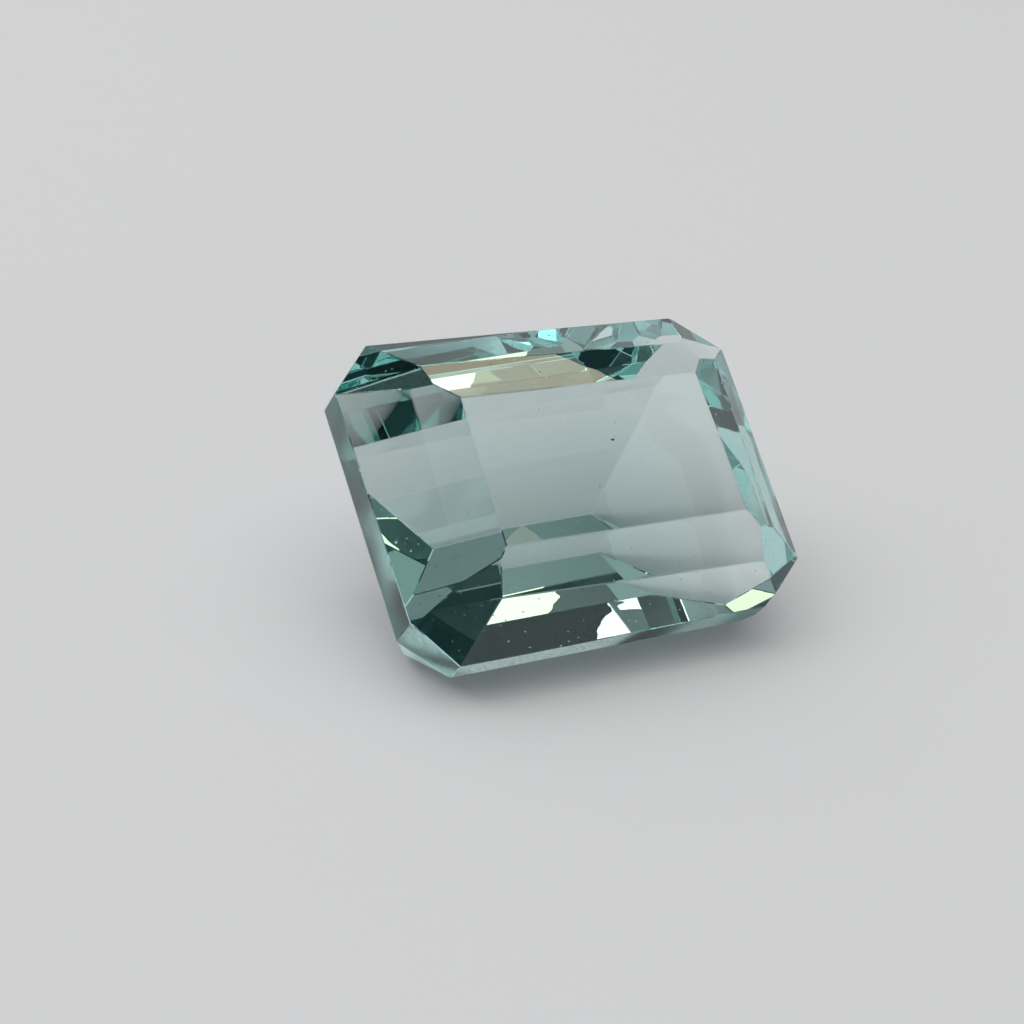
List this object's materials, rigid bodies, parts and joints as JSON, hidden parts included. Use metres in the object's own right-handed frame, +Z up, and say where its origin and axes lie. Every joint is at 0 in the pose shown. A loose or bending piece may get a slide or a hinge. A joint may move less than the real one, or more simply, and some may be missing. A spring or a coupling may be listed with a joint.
{
  "type": "topaz gemstone",
  "caption": "Clear pale green-blue faceted gemstone, a rectangular step cut with cut corners, lying tipped over on a facet of its underside.",
  "frame": {"origin": "middle of the underside of the stone's box, on the surface that the stone lies on", "axes": "+X along the stone's length, +Z up from the surface that it lies on, -Y the way its table leans"},
  "size_m": [0.0202, 0.0132, 0.0112],
  "materials": {
    "topaz_crystal": "clear polished crystal with a faint green-blue tint, refractive index 1.62, matt ground girdle"
  },
  "bodies": {
    "root": {"topaz": "topaz_crystal"}
  },
  "joints": []
}
